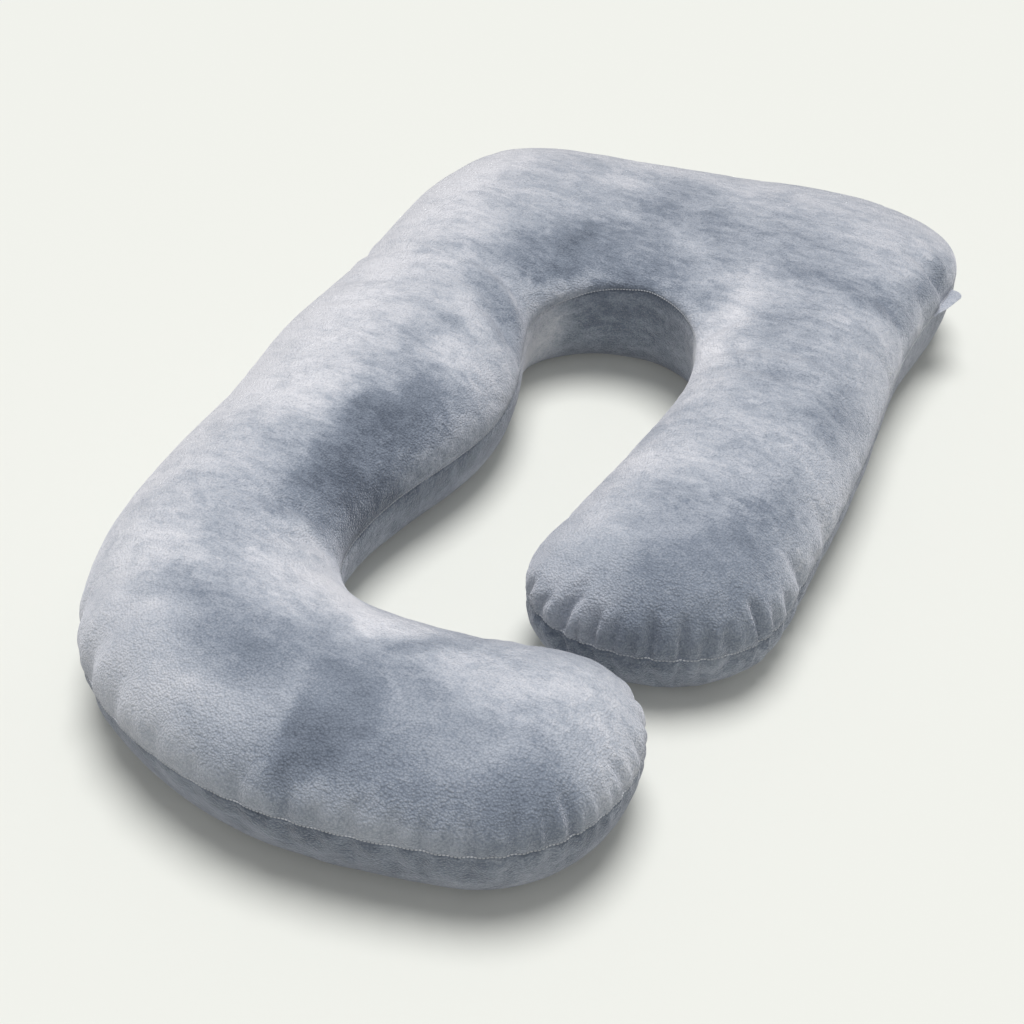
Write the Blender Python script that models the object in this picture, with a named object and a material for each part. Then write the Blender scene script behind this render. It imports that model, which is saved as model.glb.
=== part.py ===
"""Pregnancy pillow: one long filled cushion bent round into a hook.

Two plush panels are sewn together along one seam that runs right round the cushion at
about half its height, and a small flap of the same cloth is caught in that seam at the
far corner. The cushion lies on its lower panel, which is flat where it touches.
Units are metres, +Z is up, and the origin is under the middle of the whole pillow.
"""
from collections import namedtuple

import bmesh
import bpy
import numpy as np

# Plan position of the pillow's middle in the tables below.
MIDDLE_X = 0.013
MIDDLE_Y = 0.041

# Sections across the cushion, from the end of the hook round to the end of the short arm:
# plan points of both edges, height of the crown, and height of the seam at both edges.
Section = namedtuple("Section", "outer_x outer_y inner_x inner_y crown outer_seam inner_seam")
SECTIONS = (
    Section(0.210, -0.645, 0.205, -0.340, 0.185, 0.100, 0.090),
    Section(0.055, -0.675, 0.095, -0.365, 0.190, 0.100, 0.090),
    Section(-0.135, -0.660, -0.020, -0.370, 0.200, 0.095, 0.090),
    Section(-0.300, -0.570, -0.080, -0.335, 0.200, 0.085, 0.090),
    Section(-0.385, -0.385, -0.110, -0.270, 0.200, 0.080, 0.090),
    Section(-0.400, -0.155, -0.095, -0.145, 0.195, 0.080, 0.095),
    Section(-0.415, 0.070, -0.055, 0.010, 0.195, 0.080, 0.095),
    Section(-0.405, 0.290, -0.075, 0.155, 0.190, 0.085, 0.100),
    Section(-0.400, 0.505, -0.095, 0.260, 0.190, 0.095, 0.120),
    Section(-0.325, 0.665, -0.040, 0.320, 0.185, 0.100, 0.140),
    Section(-0.085, 0.720, 0.010, 0.335, 0.180, 0.100, 0.150),
    Section(0.190, 0.760, 0.055, 0.335, 0.180, 0.105, 0.155),
    Section(0.400, 0.695, 0.125, 0.290, 0.185, 0.105, 0.150),
    Section(0.410, 0.485, 0.165, 0.190, 0.185, 0.100, 0.140),
    Section(0.420, 0.225, 0.160, 0.100, 0.190, 0.090, 0.120),
    Section(0.425, 0.010, 0.140, -0.015, 0.185, 0.085, 0.105),
    Section(0.420, -0.135, 0.110, -0.170, 0.180, 0.075, 0.090),
)
HOOK_CAP_LENGTH = 0.155
SHORT_CAP_LENGTH = 0.130
CAP_FULLNESS = 0.92
CROWN_FULLNESS = 0.82
LOWER_EDGE_RADIUS = 0.050
LOWER_EDGE_MOST = 0.9

# The stitches draw the cloth in along the seam.
SEAM_DRAW = 0.003
SEAM_SPREAD = 0.007

# Gathers pulled in by the seam. along is the distance along the seam from the tip of the
# hook or of the short arm, positive towards the outer edge. reach runs up from the seam.
Gather = namedtuple("Gather", "end along reach depth width")
GATHERS = (
    Gather("short", -0.096, 0.055, 0.0045, 0.008),
    Gather("short", -0.062, 0.090, 0.0100, 0.010),
    Gather("short", -0.022, 0.065, 0.0065, 0.008),
    Gather("short", 0.004, 0.060, 0.0060, 0.008),
    Gather("short", 0.050, 0.075, 0.0080, 0.009),
    Gather("short", 0.090, 0.065, 0.0065, 0.008),
    Gather("short", 0.118, 0.055, 0.0055, 0.008),
    Gather("short", 0.197, 0.070, 0.0100, 0.008),
    Gather("short", 0.222, 0.055, 0.0050, 0.008),
    Gather("short", 0.300, 0.080, 0.0060, 0.012),
    Gather("short", 0.385, 0.090, 0.0050, 0.014),
    Gather("hook", -0.145, 0.050, 0.0050, 0.009),
    Gather("hook", -0.105, 0.065, 0.0085, 0.009),
    Gather("hook", -0.068, 0.055, 0.0065, 0.008),
    Gather("hook", -0.025, 0.055, 0.0050, 0.008),
    Gather("hook", 0.023, 0.065, 0.0080, 0.008),
    Gather("hook", 0.067, 0.060, 0.0060, 0.008),
    Gather("hook", 0.108, 0.075, 0.0095, 0.008),
    Gather("hook", 0.136, 0.070, 0.0065, 0.008),
    Gather("hook", 0.177, 0.075, 0.0070, 0.009),
    Gather("hook", 0.223, 0.065, 0.0050, 0.010),
    Gather("hook", 0.275, 0.055, 0.0035, 0.010),
    Gather("hook", 0.355, 0.065, 0.0040, 0.012),
    Gather("hook", 0.430, 0.100, 0.0050, 0.014),
    Gather("hook", 0.490, 0.090, 0.0060, 0.014),
    Gather("hook", 0.610, 0.080, 0.0050, 0.014),
    Gather("hook", 0.690, 0.110, 0.0060, 0.016),
    Gather("hook", 0.760, 0.140, 0.0085, 0.018),
    Gather("hook", 0.845, 0.130, 0.0060, 0.016),
    Gather("hook", 1.670, 0.120, 0.0080, 0.014),
    Gather("hook", 2.940, 0.090, 0.0070, 0.028),
)
GATHER_RISE = 0.010
LOWER_GATHER_SHARE = 0.6
LOWER_GATHER_REACH = 0.060

# Creases over the crown, in plan: each starts at its root near an edge and fades out at its
# far end. A negative depth is a ridge.
Crease = namedtuple("Crease", "from_x from_y via_x via_y to_x to_y depth width")
CREASES = (
    # Between the top bar and the belly of the long arm.
    Crease(-0.080, 0.150, -0.135, 0.225, -0.275, 0.215, 0.0060, 0.013),
    Crease(-0.080, 0.140, -0.125, 0.185, -0.180, 0.175, 0.0080, 0.012),
    Crease(-0.095, 0.220, -0.155, 0.280, -0.255, 0.255, 0.0050, 0.012),
    Crease(-0.090, 0.190, -0.150, 0.255, -0.230, 0.245, -0.0030, 0.010),
    # Across the long arm, out to its notch.
    Crease(-0.395, 0.160, -0.330, 0.155, -0.240, 0.165, 0.0040, 0.010),
    Crease(-0.380, 0.090, -0.310, 0.095, -0.240, 0.115, 0.0030, 0.010),
    # Round the tight inner bend of the hook.
    Crease(-0.105, -0.285, -0.160, -0.320, -0.300, -0.345, 0.0045, 0.013),
    Crease(-0.095, -0.310, -0.125, -0.365, -0.190, -0.395, 0.0040, 0.011),
    Crease(-0.085, -0.335, -0.085, -0.400, -0.110, -0.460, 0.0035, 0.011),
    # Round the inner corner of the short arm and across it.
    Crease(0.145, 0.240, 0.180, 0.285, 0.235, 0.370, 0.0045, 0.012),
    Crease(0.160, 0.215, 0.260, 0.270, 0.420, 0.235, 0.0045, 0.013),
    Crease(0.200, 0.195, 0.305, 0.185, 0.420, 0.200, 0.0035, 0.012),
    Crease(0.420, 0.400, 0.370, 0.450, 0.290, 0.455, 0.0055, 0.014),
    Crease(0.425, 0.335, 0.380, 0.330, 0.325, 0.315, 0.0035, 0.012),
    Crease(0.430, 0.040, 0.400, 0.060, 0.355, 0.095, -0.0030, 0.014),
    # Running in to the root of the flap.
    Crease(0.425, 0.580, 0.395, 0.555, 0.345, 0.590, 0.0095, 0.013),
    Crease(0.420, 0.602, 0.395, 0.590, 0.350, 0.620, -0.0040, 0.007),
    Crease(0.420, 0.612, 0.410, 0.625, 0.380, 0.650, -0.0030, 0.007),
    Crease(0.425, 0.500, 0.395, 0.500, 0.330, 0.540, 0.0045, 0.012),
)
CREASE_STEPS = 16
CREASE_ROOT_STRENGTH = 0.6

# The flap of cloth caught in the seam, by its place and length along the seam. It is thinner
# at its root, which sits just off the bottom of the drawn-in seam.
FLAP_FROM = 2.918
FLAP_LENGTH = 0.078
FLAP_REACH = 0.021
FLAP_SHOULDER = 0.26
FLAP_THICKNESS = 0.0030
FLAP_ROOT_THICKNESS = 0.0010
FLAP_SEAT = 0.0005
FLAP_LIFT = 0.004
FLAP_SECTIONS = 15

# Fineness of the surface: spacing of the ribs along the longer edge, ribs round each end,
# and the rings of each panel as angles, 0 at the crown or at the seam.
RIB_SPACING = 0.040
FINE_SPACING = 0.009
FINE_END_LENGTH = 0.16
END_RIBS = 59
COARSE_END_STEP = 4
COARSE_RINGS = 4
UPPER_ANGLES = (0.0, 13.0, 26.0, 38.0, 49.0, 59.0, 68.0, 76.0, 83.0, 87.5, 90.0)
LOWER_ANGLES = (4.0, 16.0, 34.0, 55.0, 90.0)
UNDER_RING_SHARE = 0.6
SPLINE_SAMPLES = 4000

CLOTH_COLOUR = (0.36, 0.39, 0.46, 1.0)
CLOTH_ROUGHNESS = 0.9


def clear_scene():
    for item in list(bpy.data.objects):
        bpy.data.objects.remove(item, do_unlink=True)


def natural_spline(knots, values, places):
    """Natural cubic spline through the rows of values, and its slope, at the places."""
    step = np.diff(knots)[:, None]
    count = len(knots)
    matrix = np.eye(count)
    target = np.zeros_like(values)
    for k in range(1, count - 1):
        matrix[k, k - 1] = step[k - 1, 0]
        matrix[k, k] = 2 * (step[k - 1, 0] + step[k, 0])
        matrix[k, k + 1] = step[k, 0]
        rise = (values[k + 1] - values[k]) / step[k]
        target[k] = 6 * (rise - (values[k] - values[k - 1]) / step[k - 1])
    bend = np.linalg.solve(matrix, target)
    span = np.clip(np.searchsorted(knots, places) - 1, 0, count - 2)
    width = step[span]
    left = (knots[span + 1] - places)[:, None] / width
    right = 1 - left
    bulge = ((left**3 - left) * bend[span] + (right**3 - right) * bend[span + 1]) * width**2 / 6
    lean = ((1 - 3 * left**2) * bend[span] + (3 * right**2 - 1) * bend[span + 1]) * width / 6
    place = left * values[span] + right * values[span + 1] + bulge
    slope = (values[span + 1] - values[span]) / width + lean
    return place, slope


def unit(vectors):
    return vectors / np.linalg.norm(vectors, axis=1)[:, None]


def smooth_step(value):
    value = np.clip(value, 0, 1)
    return value * value * (3 - 2 * value)


def section_stations():
    """Sections read off the spline, closer together near both ends and beside the flap."""
    table = np.array(SECTIONS, dtype=float)
    middles = (table[:, 0:2] + table[:, 2:4]) / 2
    knots = np.concatenate(([0.0], np.cumsum(np.linalg.norm(np.diff(middles, axis=0), axis=1))))
    fine = np.linspace(0, knots[-1], SPLINE_SAMPLES)
    trial, _ = natural_spline(knots, table, fine)
    outer_step = np.linalg.norm(np.diff(trial[:, 0:2], axis=0), axis=1)
    inner_step = np.linalg.norm(np.diff(trial[:, 2:4], axis=0), axis=1)
    from_end = np.minimum(fine[1:], knots[-1] - fine[1:])
    flap_distance = np.linalg.norm(trial[1:, 0:2] - flap_middle(trial, outer_step), axis=1)
    near = np.minimum(from_end, flap_distance)
    spacing = FINE_SPACING + (RIB_SPACING - FINE_SPACING) * smooth_step(near / FINE_END_LENGTH)
    turns = np.concatenate(([0.0], np.cumsum(np.maximum(outer_step, inner_step) / spacing)))
    count = int(round(turns[-1])) + 1
    places = np.interp(np.linspace(0, turns[-1], count), turns, fine)
    return natural_spline(knots, table, places)


def flap_middle(trial, outer_step):
    """Plan point of the outer edge that the flap grows from, near enough to space the ribs."""
    hook_quarter = HOOK_CAP_LENGTH * np.pi / 2
    run = np.concatenate(([0.0], np.cumsum(outer_step))) + hook_quarter
    spot = np.searchsorted(run, FLAP_FROM + FLAP_LENGTH / 2)
    return trial[spot, 0:2]


Ribs = namedtuple("Ribs", "centre way half crown seam along spine fine length short_tip")


def cushion_ribs():
    """Every rib, from the hook along the outer edge, round the short end and back inside."""
    stations, slopes = section_stations()
    count = len(stations)
    outer = stations[:, 0:2]
    inner = stations[:, 2:4]
    centre = (outer + inner) / 2
    heading = unit(slopes[:, 0:2] + slopes[:, 2:4])
    turn = np.linspace(0, np.pi, END_RIBS + 2)[1:-1]
    across = np.sign(np.cos(turn)) * np.abs(np.cos(turn)) ** CAP_FULLNESS
    ahead = np.sin(turn) ** CAP_FULLNESS
    blend = (1 - np.cos(turn)) / 2

    def cap(index, side, direction, length):
        sideways = np.outer(across, side[index] - centre[index])
        return centre[index] + sideways + np.outer(ahead * length, direction)

    short_cap = cap(-1, outer, heading[-1], SHORT_CAP_LENGTH)
    hook_cap = cap(0, inner, -heading[0], HOOK_CAP_LENGTH)
    edge = np.concatenate((outer, short_cap, inner[::-1], hook_cap))
    order = np.arange(count)
    last = np.full(END_RIBS, count - 1)
    spine = np.concatenate((order, last, order[::-1], np.zeros(END_RIBS, dtype=int)))
    seam = np.concatenate((
        stations[:, 5],
        stations[-1, 5] + (stations[-1, 6] - stations[-1, 5]) * blend,
        stations[::-1, 6],
        stations[0, 6] + (stations[0, 5] - stations[0, 6]) * blend,
    ))
    body = np.ones(count, dtype=bool)
    end = (np.arange(1, END_RIBS + 1) % COARSE_END_STEP) == 0
    half = np.linalg.norm(edge - centre[spine], axis=1)
    run = np.concatenate(([0.0], np.cumsum(np.linalg.norm(np.diff(edge, axis=0), axis=1))))
    length = run[-1] + np.linalg.norm(edge[0] - edge[-1])
    hook_tip = run[2 * count + END_RIBS + END_RIBS // 2]
    short_tip = run[count + END_RIBS // 2]
    return Ribs(
        centre=centre[spine],
        way=(edge - centre[spine]) / half[:, None],
        half=half,
        crown=stations[spine, 4],
        seam=seam,
        along=(run - hook_tip) % length,
        spine=spine,
        fine=np.concatenate((body, end, body, end)),
        length=length,
        short_tip=(short_tip - hook_tip) % length,
    )


def gather_depth(ribs, from_seam, lower):
    """How far the gathers pull the cloth in at one distance from the seam, for each rib."""
    depth = np.zeros_like(ribs.half)
    rise = from_seam / (from_seam + GATHER_RISE)
    for gather in GATHERS:
        if gather.end == "hook":
            offset = ribs.along - gather.along
        else:
            offset = ribs.short_tip - ribs.along - gather.along
        offset = (offset + ribs.length / 2) % ribs.length - ribs.length / 2
        reach = min(gather.reach, LOWER_GATHER_REACH) if lower else gather.reach
        share = LOWER_GATHER_SHARE if lower else 1.0
        fade = 1 - smooth_step(from_seam / reach)
        depth += share * gather.depth * rise * fade * np.exp(-((offset / gather.width) ** 2))
    return depth


def crease_depth(plan):
    """How far the creases over the crown dip at the plan points."""
    depth = np.zeros(len(plan))
    t = np.linspace(0, 1, CREASE_STEPS)[:, None]
    strength = np.sin(np.pi * t[:, 0] ** CREASE_ROOT_STRENGTH)
    for crease in CREASES:
        start = np.array((crease.from_x, crease.from_y))
        via = np.array((crease.via_x, crease.via_y))
        end = np.array((crease.to_x, crease.to_y))
        path = (1 - t) ** 2 * start + 2 * t * (1 - t) * via + t**2 * end
        distance = np.linalg.norm(plan[:, None, :] - path[None, :, :], axis=2)
        shape = strength[None, :] * np.exp(-((distance / crease.width) ** 2))
        depth += crease.depth * shape.max(axis=1)
    return depth


def profile(ribs, angle, lower):
    """Distance out and height of one ring on every rib, and the way its surface faces."""
    if lower:
        radius = np.minimum(LOWER_EDGE_RADIUS, LOWER_EDGE_MOST * ribs.half)
        out = ribs.half - radius * (1 - np.cos(angle))
        height = ribs.seam * (1 - np.sin(angle))
        face_out = np.cos(angle) * ribs.seam
        face_up = -np.sin(angle) * radius
    else:
        rise = ribs.crown - ribs.seam
        out = ribs.half * np.sin(angle)
        height = ribs.seam + rise * np.maximum(np.cos(angle), 0.0) ** CROWN_FULLNESS
        face_out = np.sin(angle) * rise
        face_up = np.cos(angle) * ribs.half
    size = np.hypot(face_out, face_up)
    return out, height, face_out / size, face_up / size


def ring_points(ribs, angle, lower):
    """Points of one ring: the plain cushion, then the seam, gathers and creases drawn in."""
    out, height, face_out, face_up = profile(ribs, angle, lower)
    from_seam = np.hypot(ribs.half - out, height - ribs.seam)
    plan = ribs.centre + ribs.way * out[:, None]
    depth = SEAM_DRAW * np.exp(-((from_seam / SEAM_SPREAD) ** 2)) + gather_depth(ribs, from_seam, lower)
    if lower:
        depth *= np.cos(angle)
    else:
        depth += crease_depth(plan) * from_seam / (from_seam + GATHER_RISE)
    plan -= ribs.way * (depth * face_out)[:, None]
    height = np.maximum(height - depth * face_up, 0.0)
    return np.column_stack((plan, height))


def add_row(cloth, ribs, points, coarse):
    """Vertices of one ring; a coarse ring skips ribs round the two ends."""
    row = []
    for rib, point in enumerate(points):
        if coarse and not ribs.fine[rib]:
            row.append(None)
        else:
            row.append(cloth.verts.new(point))
    return row


def add_spine_row(cloth, ribs, points):
    """Vertices along the spine, each shared by all the ribs that start there."""
    shared = {}
    for rib, place in enumerate(ribs.spine):
        if place not in shared:
            shared[place] = cloth.verts.new(points[rib])
    return [shared[place] if ribs.fine[rib] else None for rib, place in enumerate(ribs.spine)]


def join_rows(cloth, first, second):
    """Faces between two rings, where one may skip ribs that the other has."""
    count = len(first)
    stops = [rib for rib in range(count) if first[rib] is not None and second[rib] is not None]
    for stop, rib in enumerate(stops):
        end = stops[(stop + 1) % len(stops)]
        span = [(rib + step) % count for step in range((end - rib) % count + 1)]
        ahead = [second[k] for k in span if second[k] is not None]
        back = [first[k] for k in reversed(span) if first[k] is not None]
        corners = []
        for corner in ahead + back:
            if corner not in corners:
                corners.append(corner)
        if len(corners) > 2:
            cloth.faces.new(corners)


def plush(name):
    material = bpy.data.materials.new(name)
    material.use_nodes = True
    shader = material.node_tree.nodes["Principled BSDF"]
    shader.inputs["Base Color"].default_value = CLOTH_COLOUR
    shader.inputs["Roughness"].default_value = CLOTH_ROUGHNESS
    shader.inputs["Metallic"].default_value = 0.0
    material.diffuse_color = CLOTH_COLOUR
    return material


def finish(cloth, name):
    """Triangles facing out, moved so that the pillow's middle is over the origin."""
    bmesh.ops.triangulate(cloth, faces=cloth.faces[:], quad_method="SHORT_EDGE", ngon_method="BEAUTY")
    bmesh.ops.translate(cloth, verts=cloth.verts[:], vec=(-MIDDLE_X, -MIDDLE_Y, 0.0))
    bmesh.ops.recalc_face_normals(cloth, faces=cloth.faces[:])
    mesh = bpy.data.meshes.new(name)
    cloth.to_mesh(mesh)
    cloth.free()
    mesh.shade_smooth()
    mesh.materials.append(plush(name + "_plush"))
    piece = bpy.data.objects.new(name, mesh)
    bpy.context.scene.collection.objects.link(piece)
    return piece


def make_pillow(ribs):
    """Upper panel from the crown to the seam, lower panel round to the flat underside."""
    cloth = bmesh.new()
    rows = []
    for order, degrees in enumerate(UPPER_ANGLES):
        points = ring_points(ribs, np.radians(degrees), lower=False)
        if order == 0:
            rows.append(add_spine_row(cloth, ribs, points))
        else:
            rows.append(add_row(cloth, ribs, points, coarse=order <= COARSE_RINGS))
    for degrees in LOWER_ANGLES:
        points = ring_points(ribs, np.radians(degrees), lower=True)
        rows.append(add_row(cloth, ribs, points, coarse=False))
    under = np.column_stack((ribs.centre, np.zeros(len(ribs.half))))
    ring = ring_points(ribs, np.radians(LOWER_ANGLES[-1]), lower=True)
    rows.append(add_row(cloth, ribs, under + (ring - under) * UNDER_RING_SHARE, coarse=True))
    rows.append(add_spine_row(cloth, ribs, under))
    for first, second in zip(rows[:-1], rows[1:]):
        join_rows(cloth, first, second)
    return finish(cloth, "pillow")


def flap_reach(share):
    """How far the flap stands out at a share of its length: a round shoulder, then a taper."""
    if share < FLAP_SHOULDER:
        return FLAP_REACH * np.sqrt(1 - (1 - share / FLAP_SHOULDER) ** 2)
    return FLAP_REACH * (1 - share) / (1 - FLAP_SHOULDER)


def make_flap(ribs):
    """A leaf of doubled cloth, its root lying in the drawn-in seam."""
    near = (ribs.along > FLAP_FROM - FLAP_LENGTH) & (ribs.along < FLAP_FROM + 2 * FLAP_LENGTH)
    seam = ring_points(ribs, np.radians(90.0), lower=False)[near]
    shares = (np.arange(FLAP_SECTIONS) + 0.5) / FLAP_SECTIONS
    places = FLAP_FROM + FLAP_LENGTH * shares
    root = np.column_stack([np.interp(places, ribs.along[near], seam[:, axis]) for axis in range(3)])
    heading = unit(root[-1:] - root[:1])[0]
    outward = np.array((heading[1], -heading[0], 0.0)) * np.sign(heading[1] * ribs.way[near][0, 0])
    half_root = FLAP_ROOT_THICKNESS / 2
    half_leaf = FLAP_THICKNESS / 2
    cloth = bmesh.new()
    sections = []
    for share, point in zip(shares, root):
        reach = max(flap_reach(share), FLAP_THICKNESS)
        lift = FLAP_LIFT * reach / FLAP_REACH
        outline = (
            (FLAP_SEAT, -half_root), (FLAP_SEAT + reach * 0.5, lift * 0.5 - half_leaf),
            (FLAP_SEAT + reach, lift - half_root), (FLAP_SEAT + reach, lift + half_root),
            (FLAP_SEAT + reach * 0.5, lift * 0.5 + half_leaf), (FLAP_SEAT, half_root),
        )
        up = np.array((0.0, 0.0, 1.0))
        sections.append([cloth.verts.new(point + outward * out + up * height) for out, height in outline])
    for first, second in zip(sections[:-1], sections[1:]):
        for k in range(len(first)):
            after = (k + 1) % len(first)
            cloth.faces.new((first[k], first[after], second[after], second[k]))
    cloth.faces.new(sections[0])
    cloth.faces.new(sections[-1][::-1])
    return finish(cloth, "seam_flap")


clear_scene()
cushion = cushion_ribs()
make_pillow(cushion)
make_flap(cushion)
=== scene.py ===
"""Looks of the pregnancy pillow: two plush panels with their seam, stitches, gathers and nap, with
painted shade and highlights laid into the nap.
"""
from collections import namedtuple

import bmesh
import bpy
import numpy as np
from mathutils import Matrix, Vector, noise


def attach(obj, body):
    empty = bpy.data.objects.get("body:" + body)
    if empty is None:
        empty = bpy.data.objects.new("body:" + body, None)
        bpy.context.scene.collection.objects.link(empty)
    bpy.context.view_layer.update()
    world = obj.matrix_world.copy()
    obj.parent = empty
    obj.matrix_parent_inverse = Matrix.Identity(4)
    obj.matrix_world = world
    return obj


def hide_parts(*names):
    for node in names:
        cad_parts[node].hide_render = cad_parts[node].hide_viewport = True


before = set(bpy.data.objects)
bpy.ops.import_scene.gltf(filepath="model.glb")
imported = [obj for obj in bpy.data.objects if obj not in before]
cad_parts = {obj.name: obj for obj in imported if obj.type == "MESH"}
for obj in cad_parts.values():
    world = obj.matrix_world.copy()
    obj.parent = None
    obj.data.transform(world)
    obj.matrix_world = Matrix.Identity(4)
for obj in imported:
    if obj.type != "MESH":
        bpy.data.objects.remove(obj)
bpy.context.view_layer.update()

# Plan position of the pillow's middle in the tables below.
MIDDLE_X = 0.013
MIDDLE_Y = 0.041

# Sections across the cushion, from the end of the hook round to the end of the short arm:
# plan points of both edges, height of the crown, and height of the seam at both edges.
Section = namedtuple("Section", "outer_x outer_y inner_x inner_y crown outer_seam inner_seam")
SECTIONS = (
    Section(0.210, -0.645, 0.205, -0.340, 0.185, 0.100, 0.090),
    Section(0.055, -0.675, 0.095, -0.365, 0.190, 0.100, 0.090),
    Section(-0.135, -0.660, -0.020, -0.370, 0.200, 0.095, 0.090),
    Section(-0.300, -0.570, -0.080, -0.335, 0.200, 0.085, 0.090),
    Section(-0.385, -0.385, -0.110, -0.270, 0.200, 0.080, 0.090),
    Section(-0.400, -0.155, -0.095, -0.145, 0.195, 0.080, 0.095),
    Section(-0.415, 0.070, -0.055, 0.010, 0.195, 0.080, 0.095),
    Section(-0.405, 0.290, -0.075, 0.155, 0.190, 0.085, 0.100),
    Section(-0.400, 0.505, -0.095, 0.260, 0.190, 0.095, 0.120),
    Section(-0.325, 0.665, -0.040, 0.320, 0.185, 0.100, 0.140),
    Section(-0.085, 0.720, 0.010, 0.335, 0.180, 0.100, 0.150),
    Section(0.190, 0.760, 0.055, 0.335, 0.180, 0.105, 0.155),
    Section(0.400, 0.695, 0.125, 0.290, 0.185, 0.105, 0.150),
    Section(0.410, 0.485, 0.165, 0.190, 0.185, 0.100, 0.140),
    Section(0.420, 0.225, 0.160, 0.100, 0.190, 0.090, 0.120),
    Section(0.425, 0.010, 0.140, -0.015, 0.185, 0.085, 0.105),
    Section(0.420, -0.135, 0.110, -0.170, 0.180, 0.075, 0.090),
)
HOOK_CAP_LENGTH = 0.155
SHORT_CAP_LENGTH = 0.130
CAP_FULLNESS = 0.92
CROWN_FULLNESS = 0.82
LOWER_EDGE_RADIUS = 0.050
LOWER_EDGE_MOST = 0.9

# The stitches draw the cloth in along the seam, in a broad hollow with a narrow groove.
SEAM_DRAW = 0.0022
SEAM_SPREAD = 0.0070
GROOVE_DEPTH = 0.0010
GROOVE_SPREAD = 0.0011
LIP_HEIGHT = 0.0005
LIP_PLACE = 0.0035
LIP_SPREAD = 0.0016
SEAM_WAVER = 0.0009
SEAM_WAVER_LENGTH = 0.035
SEAM_WAVER_REACH = 0.022
SEAM_WAVER_SEED = 3.7

# Gathers pulled in by the seam. along is the distance along the seam from the tip of the
# hook or of the short arm, positive towards the outer edge. reach runs up from the seam.
# lean is how far the upper end of the gather has drifted along the seam.
Gather = namedtuple("Gather", "end along reach depth width lean", defaults=(0.0,))
GATHERS = (
    Gather("short", -0.130, 0.045, 0.0035, 0.007),
    Gather("short", -0.096, 0.055, 0.0045, 0.007, 0.002),
    Gather("short", -0.062, 0.095, 0.0110, 0.009, 0.004),
    Gather("short", -0.040, 0.045, 0.0035, 0.006, 0.002),
    Gather("short", -0.022, 0.065, 0.0065, 0.007, 0.003),
    Gather("short", 0.004, 0.060, 0.0060, 0.007, 0.004),
    Gather("short", 0.028, 0.040, 0.0030, 0.006, 0.002),
    Gather("short", 0.050, 0.080, 0.0085, 0.008, 0.005),
    Gather("short", 0.090, 0.065, 0.0065, 0.007, 0.004),
    Gather("short", 0.118, 0.055, 0.0055, 0.007, 0.003),
    Gather("short", 0.150, 0.040, 0.0025, 0.007),
    Gather("short", 0.197, 0.075, 0.0110, 0.007, -0.002),
    Gather("short", 0.222, 0.055, 0.0050, 0.007),
    Gather("short", 0.255, 0.050, 0.0035, 0.009),
    Gather("short", 0.300, 0.080, 0.0060, 0.012),
    Gather("short", 0.385, 0.090, 0.0050, 0.014),
    Gather("hook", -0.175, 0.045, 0.0030, 0.009),
    Gather("hook", -0.145, 0.050, 0.0050, 0.008),
    Gather("hook", -0.105, 0.065, 0.0090, 0.008, 0.002),
    Gather("hook", -0.068, 0.055, 0.0070, 0.007, 0.002),
    Gather("hook", -0.045, 0.040, 0.0030, 0.006),
    Gather("hook", -0.025, 0.055, 0.0050, 0.007),
    Gather("hook", 0.000, 0.045, 0.0035, 0.006),
    Gather("hook", 0.023, 0.065, 0.0080, 0.007, 0.001),
    Gather("hook", 0.045, 0.050, 0.0035, 0.006),
    Gather("hook", 0.067, 0.060, 0.0060, 0.007, 0.001),
    Gather("hook", 0.088, 0.050, 0.0035, 0.006),
    Gather("hook", 0.108, 0.075, 0.0100, 0.007, 0.002),
    Gather("hook", 0.136, 0.070, 0.0065, 0.007, 0.001),
    Gather("hook", 0.157, 0.045, 0.0030, 0.006),
    Gather("hook", 0.177, 0.075, 0.0070, 0.008),
    Gather("hook", 0.200, 0.045, 0.0030, 0.007),
    Gather("hook", 0.223, 0.065, 0.0050, 0.009),
    Gather("hook", 0.248, 0.045, 0.0030, 0.008),
    Gather("hook", 0.275, 0.055, 0.0035, 0.009),
    Gather("hook", 0.310, 0.050, 0.0025, 0.010),
    Gather("hook", 0.355, 0.065, 0.0040, 0.012),
    Gather("hook", 0.395, 0.060, 0.0025, 0.012),
    Gather("hook", 0.430, 0.100, 0.0050, 0.013),
    Gather("hook", 0.490, 0.090, 0.0060, 0.013),
    Gather("hook", 0.550, 0.060, 0.0030, 0.013),
    Gather("hook", 0.610, 0.080, 0.0050, 0.013),
    Gather("hook", 0.690, 0.110, 0.0060, 0.015),
    Gather("hook", 0.760, 0.140, 0.0085, 0.017),
    Gather("hook", 0.845, 0.130, 0.0060, 0.015),
    Gather("hook", 1.670, 0.120, 0.0080, 0.013),
    Gather("hook", 2.940, 0.090, 0.0070, 0.028),
)
GATHER_STRENGTH = {"hook": 0.95, "short": 1.30}
GATHER_LONGER = 1.35
GATHER_RISE = 0.007
GATHER_AT_SEAM = 0.05
GATHER_SHOULDER = 0.30
GATHER_SHOULDER_PLACE = 1.9
GATHER_SHOULDER_WIDTH = 0.8
GATHER_CUT_OFF = 4
GATHER_NARROW = 0.70
GATHER_WIDENING = 0.90
LOWER_GATHER_SHARE = 0.6
LOWER_GATHER_REACH = 0.060
LOWER_CALM_HEIGHT = 0.03

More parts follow.
